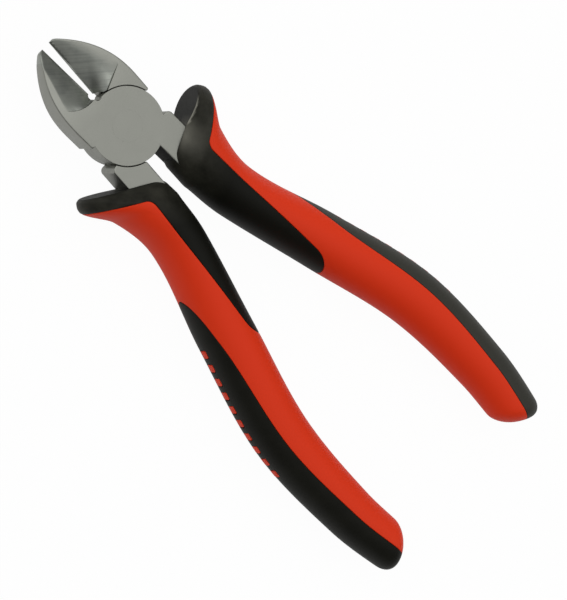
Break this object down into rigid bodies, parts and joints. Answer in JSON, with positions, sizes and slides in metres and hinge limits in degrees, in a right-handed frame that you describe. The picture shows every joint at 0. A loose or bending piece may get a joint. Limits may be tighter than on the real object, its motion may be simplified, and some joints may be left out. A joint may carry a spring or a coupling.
{
  "type": "diagonal cutter",
  "caption": "Hand diagonal cutter: forged steel levers with bevelled cutting jaws turn on a riveted lap joint and carry curved red and black moulded grips.",
  "frame": {"origin": "on the pivot axis, in the plane of the rear joint face", "axes": "+Y along the tool to the jaw tips, +X to the right handle seen from the front, +Z out of the front joint face along the pivot"},
  "size_m": [0.0692, 0.1656, 0.0209],
  "materials": {
    "steel": "satin ground",
    "rivet_steel": "ground flush",
    "red_plastic": "fine satin moulded",
    "black_soft": "soft matt moulded"
  },
  "bodies": {
    "front_half": {"front_lever": "steel", "pivot_rivet": "rivet_steel", "right_grip_core": "red_plastic", "right_grip_collar": "black_soft", "right_palm_strip": "black_soft"},
    "rear_half": {"rear_lever": "steel", "left_grip_core": "red_plastic", "left_grip_collar": "black_soft", "left_palm_strip": "black_soft"}
  },
  "joints": [
    {"name": "jaw_pivot", "type": "hinge", "parent": "front_half", "child": "rear_half", "pos_m": [0, 0, 0.00475], "axis": [0, 0, -1], "range_deg": [-4.8, 34]}
  ]
}
